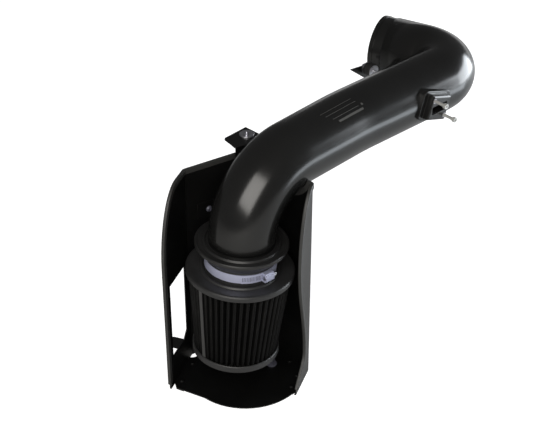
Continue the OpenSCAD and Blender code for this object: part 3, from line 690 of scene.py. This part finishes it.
@dataclass(frozen=True)
class PleatTips:
    """The rounded outer folds of the filter cloth, one over each crest of the solid."""

    name: str = "pleat_tips"
    count: int = 48
    first_heading: float = 7.445
    low: float = 0.0794
    high: float = 0.2236
    low_radius: float = 0.06533
    high_radius: float = 0.07975
    half_width: float = 0.0024
    half_depth: float = 0.0022
    sides: int = 12

    def build(self, foot: Vector, axis: Vector) -> bpy.types.Object:
        """Makes one fold and repeats it round the filter.

        Args:
            foot: the foot of the filter's axis.
            axis: the axis' direction.

        Returns:
            The new object.
        """
        bm = bmesh.new()
        out = heading(self.first_heading)
        out = (out - axis * out.dot(axis)).normalized()
        frame = Matrix((out, axis.cross(out), axis)).transposed().to_4x4()
        slope = math.atan((self.high_radius - self.low_radius) / (self.high - self.low))
        middle = Vector(((self.low_radius + self.high_radius) / 2 - self.half_depth, 0,
                         (self.low + self.high) / 2))
        squash = Matrix.Diagonal((self.half_depth / self.half_width, 1, 1, 1))
        place = (Matrix.Translation(foot) @ frame @ Matrix.Translation(middle)
                 @ Matrix.Rotation(slope, 4, "Y") @ squash)
        narrow = self.half_width * self.low_radius / self.high_radius
        bmesh.ops.create_cone(bm, cap_ends=True, segments=self.sides, radius1=narrow,
                              radius2=self.half_width, matrix=place,
                              depth=(self.high - self.low) / math.cos(slope))
        step = math.tau / self.count
        bmesh.ops.spin(bm, geom=bm.verts[:] + bm.edges[:] + bm.faces[:], cent=foot, axis=axis,
                       angle=math.tau - step, steps=self.count - 1, use_merge=False,
                       use_duplicate=True)
        return finished(self.name, bm, None)


@dataclass(frozen=True)
class Thread:
    """A screw thread: a three-sided ridge wound round a 6 mm stud."""

    name: str
    base: Vector
    axis: Vector
    length: float
    radius: float = 0.0028
    pitch: float = 0.001
    tooth: float = 0.0002
    turn_steps: int = 20

    def build(self) -> bpy.types.Object:
        """Winds the ridge.

        Returns:
            The new object.
        """
        bm = bmesh.new()
        turn = self.axis.to_track_quat("Z", "X").to_matrix().to_4x4()
        out = turn @ Vector((1, 0, 0))
        start = (Matrix.Translation(self.base + out * self.radius) @ turn
                 @ Matrix.Rotation(math.pi / 2, 4, "X"))
        ring = bmesh.ops.create_circle(bm, segments=3, radius=self.tooth, matrix=start)
        geom = ring["verts"] + list({e for v in ring["verts"] for e in v.link_edges})
        turns = self.length / self.pitch
        steps = int(turns * self.turn_steps)
        bmesh.ops.spin(bm, geom=geom, cent=self.base, axis=self.axis,
                       dvec=self.axis * self.length / steps, angle=math.tau * turns, steps=steps,
                       use_merge=False, use_duplicate=False)
        return finished(self.name, bm, None)


def finished(name: str, bm: bmesh.types.BMesh, inside: Vector | None) -> bpy.types.Object:
    """Turns a bmesh into a smooth object that rides on the part.

    Args:
        name: the new object's name.
        bm: the mesh, which is freed.
        inside: a point that the first face looks away from, or None.

    Returns:
        The object.
    """
    bmesh.ops.remove_doubles(bm, verts=bm.verts, dist=MERGE_DISTANCE)
    bmesh.ops.recalc_face_normals(bm, faces=bm.faces)
    bm.faces.ensure_lookup_table()
    first = bm.faces[0]
    if inside is not None and first.normal.dot(first.calc_center_median() - inside) < 0:
        bmesh.ops.reverse_faces(bm, faces=bm.faces)
    for face in bm.faces:
        face.smooth = True
    mesh = bpy.data.meshes.new(name)
    bm.to_mesh(mesh)
    bm.free()
    obj = bpy.data.objects.new(name, mesh)
    bpy.context.scene.collection.objects.link(obj)
    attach(obj, "root")
    return obj


@dataclass(frozen=True)
class Region:
    """A part of a solid: near a point, and past a given reach from it along one way."""

    start: Vector
    way: Vector
    reach: float
    near: float

    def holds(self, edge: bmesh.types.BMEdge) -> bool:
        """Whether an edge's middle lies in the region.

        Args:
            edge: the edge.

        Returns:
            True for an edge in the region.
        """
        off = (edge.verts[0].co + edge.verts[1].co) / 2 - self.start
        return off.length < self.near and off.dot(self.way) > self.reach


@dataclass(frozen=True)
class RoundedCopy:
    """A copy of a hard-edged solid with its edges rounded, which stands for the solid.

    The angles are in degrees: an edge sharper than the first is rounded, and faces that
    turn by less than the second are joined first. Without a region every edge is taken.
    """

    name: str
    width: float
    segments: int = 2
    region: Region | None = None
    sharp_angle: float = 35.0
    flat_angle: float = 1.0
    merge: float = 0.000003

    def of(self, node: bpy.types.Object) -> bpy.types.Object:
        """Makes the copy and hides the solid behind it.

        Args:
            node: the CAD node.

        Returns:
            The new object.
        """
        bm = bmesh.new()
        bm.from_mesh(node.data)
        bmesh.ops.remove_doubles(bm, verts=bm.verts, dist=self.merge)
        bmesh.ops.dissolve_limit(bm, angle_limit=math.radians(self.flat_angle), verts=bm.verts,
                                 edges=bm.edges, use_dissolve_boundaries=False)
        picked = [e for e in self._sharp(bm) if self.region is None or self.region.holds(e)]
        bmesh.ops.bevel(bm, geom=picked, offset=self.width, offset_type="OFFSET",
                        segments=self.segments, profile=0.5, affect="EDGES",
                        clamp_overlap=False, material=-1)
        bmesh.ops.dissolve_verts(bm, verts=[v for v in bm.verts if len(v.link_edges) == 2])
        for edge in self._sharp(bm):
            edge.smooth = False
        obj = finished(self.name, bm, None)
        flat = obj.modifiers.new("Flat faces stay flat", "WEIGHTED_NORMAL")
        flat.keep_sharp = True
        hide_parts(node.name)
        return obj

    def _sharp(self, bm: bmesh.types.BMesh) -> list[bmesh.types.BMEdge]:
        """The edges that turn by more than the sharp angle.

        Args:
            bm: the mesh.

        Returns:
            The edges.
        """
        limit = math.radians(self.sharp_angle)
        return [e for e in bm.edges if e.is_manifold and e.calc_face_angle(0.0) > limit]


# Sub-assemblies


@dataclass
class SubAssembly:
    """A group of CAD nodes and the finish that each one takes."""

    nodes: dict[str, bpy.types.Object]
    slots: dict[str, str]
    effects: Effects
    finishes: dict[str, Surface] = field(default_factory=dict)
    made: dict[str, bpy.types.Material] = field(default_factory=dict)
    rounded: dict[str, RoundedCopy] = field(default_factory=dict)

    def dress(self) -> None:
        """Gives each node of the group its finish, and rounds its edges where that shows."""
        for name, surface in self.finishes.items():
            if name in self.rounded:
                piece = self.rounded[name].of(self.nodes[name])
                self.add(piece, surface, self.slots[name])
            else:
                self.put(name, self.coat(surface))

    def coat(self, surface: Surface) -> bpy.types.Material:
        """The material of a finish, made when it is first asked for.

        Args:
            surface: the finish.

        Returns:
            Its material.
        """
        if surface.name not in self.made:
            self.made[surface.name] = surface.value.material(self.effects)
        return self.made[surface.name]

    def add(self, piece: bpy.types.Object, surface: Surface, slot: str) -> None:
        """Finishes a new piece.

        Args:
            piece: the new object.
            surface: its finish.
            slot: the record's slot that it belongs to, which is not used.
        """
        piece.data.materials.append(self.coat(surface))
        log.info("added %s", piece.name)

    def put(self, name: str, mat: bpy.types.Material) -> None:
        """Puts a material on all of a CAD node's faces.

        Args:
            name: the node's name.
            mat: the material.
        """
        obj = self.nodes[name]
        if not obj.material_slots:
            obj.data.materials.append(mat)
        for place in obj.material_slots:
            place.material = mat
        log.info("dressed %s in %s", name, mat.name)


# The side that the sensor pad looks to, square to the pipe's second straight
SIDE_HEADING = PipeRoute.second_heading + 90
SENSOR_PAD = Region(start=Vector((0.133065, 0.291913, 0.38398)), way=heading(SIDE_HEADING),
                    reach=0.0545, near=0.09)


@dataclass
class IntakePipe(SubAssembly):
    """The moulded pipe with its sensor screws and rear bracket.

    The skin stands proud of the pipe's straights. It starts above the adapter's flange and
    ends past the tight bend, and a smaller ring is tucked in at each end.
    """

    finishes: dict[str, Surface] = field(default_factory=lambda: {
        "intake_tube": Surface.TUBE,
        "sensor_inserts": Surface.BRASS,
        "sensor_screws": Surface.SCREW,
        "tube_bracket": Surface.SHIELD,
        "tube_bracket_bolt": Surface.ZINC,
        "tube_bracket_insert": Surface.BRASS,
        "tube_isolator": Surface.BOBBIN,
        "tube_isolator_plates": Surface.ZINC,
        "tube_isolator_nut": Surface.ZINC,
    })
    rounded: dict[str, RoundedCopy] = field(default_factory=lambda: {
        "tube_bracket": RoundedCopy("pipe_bracket_plate", 0.0006),
        "intake_tube": RoundedCopy("moulded_pipe", 0.0009, 3, SENSOR_PAD),
    })
    route: PipeRoute = field(default_factory=PipeRoute)
    stud_foot: Triple = (0.058602, 0.353586, 0.38048)
    stud_inset: float = 0.0004
    thread_length: float = 0.0058
    skin_proud: float = 0.00045
    skin_tuck: float = 0.00065
    skin_above_flange: float = 0.0024
    skin_past_bend: float = 0.0562
    badge: tuple[Inlay, ...] = (
        Inlay("badge_line_upper", 0.050, 0.121, 14.0, 14.9),
        Inlay("badge_line_middle", 0.055, 0.124, 22.5, 23.4),
        Inlay("badge_line_lower", 0.063, 0.122, 32.2, 33.1),
        Inlay("badge_bar", 0.071, 0.128, 38.5, 42.5),
        Inlay("badge_rivet", 0.1285, 0.1325, 30.5, 34.5),
    )

    def dress(self) -> None:
        """Dresses the pipe, and adds its fair skin, its badge and its stud's thread."""
        super().dress()
        low = self.route.rise + self.skin_above_flange
        reach = self.route.stations(self.skin_proud, low, self.skin_past_bend)
        ends = [Station(s.point, s.way, s.radius - self.skin_tuck) for s in (reach[0], reach[-1])]
        skin = Sweep("pipe_skin", [ends[0], *reach, ends[1]]).build()
        self.add(skin, Surface.TUBE, "tube_plastic")
        for inlay in self.badge:
            self.add(inlay.build(self.route), Surface.BADGE, "tube_plastic")
        out = heading(SIDE_HEADING)
        base = Vector(self.stud_foot) + out * self.stud_inset
        thread = Thread("pipe_stud_thread", base, out, self.thread_length)
        self.add(thread.build(), Surface.ZINC, "zinc_steel")


@dataclass
class ConeFilter(SubAssembly):
    """The filter with its caps and pleats, its clamp and the adapter over it."""

    finishes: dict[str, Surface] = field(default_factory=lambda: {
        "tube_adapter": Surface.ADAPTER,
        "filter_top_cap": Surface.CAP,
        "filter_bottom_cap": Surface.CAP,
        "filter_seam_strip": Surface.SEAM,
        "clamp_housing": Surface.CLAMP,
        "clamp_screw": Surface.ZINC,
    })
    # The media is painted darker as painted shade in the pleat valleys; the tips are a lighter copy
    # of the same cloth, a painted highlight on the crests.
    cloth: MeshCloth = MeshCloth()
    painted_light_tip_cloth: MeshCloth = MeshCloth("Pleat tips", (0.0045, 0.0045, 0.0044), (0.013, 0.013, 0.0125))

    def dress(self) -> None:
        """Dresses the caps and the clamp's housing, then the pleats, with a painted highlight on
        their tips, and the clamp's band.
        """
        super().dress()
        self.put("filter_media", self.cloth.material())
        route = PipeRoute()
        # the pleat tips take the lighter cloth: a painted highlight on each crest
        tips = PleatTips().build(route.foot, route.axis)
        tips.data.materials.append(self.painted_light_tip_cloth.material())
        low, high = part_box("clamp_band")
        reach = ((Vector(low) + Vector(high)) / 2 - route.foot).dot(route.axis)
        self.put("clamp_band", WormBand(Surface.CLAMP.value).material(self.effects, reach))


@dataclass
class HeatShield(SubAssembly):
    """The folded shield with its tray, trim and upper bracket.

    Each stud thread has its name, the height where it starts and its length.
    """

    finishes: dict[str, Surface] = field(default_factory=lambda: {
        "shield_wall": Surface.SHIELD,
        "shield_tray": Surface.SHIELD,
        "shield_trim": Surface.TRIM,
        "tray_screws": Surface.BLACK_OXIDE,
        "tray_stud": Surface.BOLT,
        "tray_nut": Surface.BOLT,
        "shield_bracket": Surface.SHIELD,
        "bracket_bolts": Surface.BOLT,
        "bracket_nuts": Surface.ZINC,
        "shield_isolator": Surface.BOBBIN,
        "shield_isolator_plates": Surface.ZINC,
        "shield_isolator_washer": Surface.ZINC,
    })
    rounded: dict[str, RoundedCopy] = field(default_factory=lambda: {
        "shield_trim": RoundedCopy("trim_bead", 0.0014, 4),
        "shield_bracket": RoundedCopy("shield_bracket_plate", 0.0006),
    })
    stud_axis: tuple[float, float] = (-0.074574, 0.093343)
    stud_threads: tuple[tuple[str, float, float], ...] = (
        ("upper_stud_thread", 0.3768, 0.0042),
        ("lower_stud_thread", 0.3482, 0.0058),
    )

    def dress(self) -> None:
        """Dresses the shield, and adds the threads of its isolator's studs."""
        super().dress()
        for name, low, length in self.stud_threads:
            thread = Thread(name, Vector((*self.stud_axis, low)), Vector((0, 0, 1)), length)
            self.add(thread.build(), Surface.ZINC, "zinc_steel")


# Studio


@dataclass(frozen=True)
class SoftBox:
    """A rectangular lamp that looks at a point of the object.

    The roll turns it about its own line of sight, in degrees.
    """

    name: str
    place: Triple
    aim: Triple
    width: float
    height: float
    watts: float
    colour: Colour = (1.0, 1.0, 1.0)
    roll: float = 0.0

    def build(self) -> bpy.types.Object:
        """Makes the lamp.

        Returns:
            The lamp's object.
        """
        lamp = bpy.data.lights.new(self.name, "AREA")
        lamp.shape = "RECTANGLE"
        lamp.size = self.width
        lamp.size_y = self.height
        lamp.energy = self.watts
        lamp.color = self.colour
        obj = bpy.data.objects.new(self.name, lamp)
        bpy.context.scene.collection.objects.link(obj)
        obj.location = self.place
        look = Vector(self.aim) - Vector(self.place)
        turn = Quaternion((0, 0, 1), math.radians(self.roll))
        obj.rotation_euler = (look.to_track_quat("-Z", "Y") @ turn).to_euler()
        return obj


@dataclass
class Studio:
    """The floor, the lamps, the world and the camera.

    The camera's focal length is given in the photograph's pixels, and its tilt and turn in
    degrees.
    """

    boxes: tuple[SoftBox, ...] = (
        SoftBox("Key box", (0.3, -1.82, 1.56), (-0.02, 0.0, 0.35), 1.95, 1.5, 50.0,
                (1.0, 0.975, 0.93), roll=-28.0),
        SoftBox("Right box", (1.62, 1.56, 0.48), (0.12, 0.25, 0.38), 1.7, 1.0, 56.0,
                (0.9, 0.95, 1.0)),
        SoftBox("Low strip", (1.05, 0.45, 0.08), (0.1, 0.2, 0.36), 0.8, 0.2, 2.0,
                (0.86, 0.93, 1.0)),
        SoftBox("Rear panel", (0.25, 2.6, 0.3), (0.05, 0.2, 0.35), 3.0, 0.5, 4.0),
    )
    floor_size: float = 12.0
    floor_colour: Colour = (0.66, 0.66, 0.655)
    floor_roughness: float = 0.9
    floor_glow: float = 0.86
    sky_light: float = 0.09
    photo_width: int = 533
    focal_pixels: int = 1249
    sensor_width: float = 36.0
    camera_place: Triple = (0.5159, -1.4823, 1.362)
    camera_tilt: float = 56.0
    camera_turn: float = 19.5

    def build(self) -> None:
        """Builds the whole studio."""
        self._floor()
        self._world()
        for box in self.boxes:
            box.build()
        self._camera()
        log.info("built the studio")

    def _floor(self) -> None:
        """Makes the white floor, which keeps the object's shadow."""
        mesh = bpy.data.meshes.new("Studio floor")
        bm = bmesh.new()
        bmesh.ops.create_grid(bm, x_segments=1, y_segments=1, size=self.floor_size / 2)
        bm.to_mesh(mesh)
        bm.free()
        obj = bpy.data.objects.new("Studio_floor", mesh)
        bpy.context.scene.collection.objects.link(obj)
        mat, shader = new_material("Studio floor")
        nodes, links = mat.node_tree.nodes, mat.node_tree.links
        shader.inputs["Base Color"].default_value = (*self.floor_colour, 1)
        shader.inputs["Roughness"].default_value = self.floor_roughness
        shader.inputs["Emission Color"].default_value = (1, 1, 1, 1)
        seen = nodes.new("ShaderNodeLightPath")
        share = nodes.new("ShaderNodeMath")
        share.operation = "MULTIPLY"
        share.inputs[1].default_value = self.floor_glow
        links.new(seen.outputs["Is Camera Ray"], share.inputs[0])
        links.new(share.outputs[0], shader.inputs["Emission Strength"])
        mesh.materials.append(mat)

    def _world(self) -> None:
        """Makes the world white to the camera and soft grey to the object."""
        world = bpy.data.worlds.new("Studio")
        bpy.context.scene.world = world
        world.use_nodes = True
        nodes, links = world.node_tree.nodes, world.node_tree.links
        back = nodes["Background"]
        back.inputs["Color"].default_value = (1, 1, 1, 1)
        seen = nodes.new("ShaderNodeLightPath")
        level = nodes.new("ShaderNodeMapRange")
        level.inputs["To Min"].default_value = self.sky_light
        level.inputs["To Max"].default_value = 1.0
        links.new(seen.outputs["Is Camera Ray"], level.inputs["Value"])
        links.new(level.outputs["Result"], back.inputs["Strength"])

    def _camera(self) -> None:
        """Places the camera at the photograph's viewing angle."""
        data = bpy.data.cameras.new("Photo camera")
        data.sensor_fit = "HORIZONTAL"
        data.sensor_width = self.sensor_width
        data.lens = self.sensor_width * self.focal_pixels / self.photo_width
        obj = bpy.data.objects.new("Photo camera", data)
        bpy.context.scene.collection.objects.link(obj)
        obj.location = self.camera_place
        obj.rotation_euler = (math.radians(self.camera_tilt), 0, math.radians(self.camera_turn))
        bpy.context.scene.camera = obj


def main() -> None:
    """Loads the frame, dresses it and builds the studio."""
    logging.basicConfig(level=logging.INFO, format="%(name)s: %(message)s")
    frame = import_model()
    scene = bpy.context.scene
    scene.view_settings.view_transform = "Standard"
    effects = Effects()
    shared: dict[str, bpy.types.Material] = {}
    slots = {part["node"]: part["material_slot"] for part in frame["record"]["subparts"]}
    for kind in (IntakePipe, ConeFilter, HeatShield):
        kind(frame["nodes"], slots, effects, made=shared).dress()
    Studio().build()


if __name__ == "__main__":
    main()
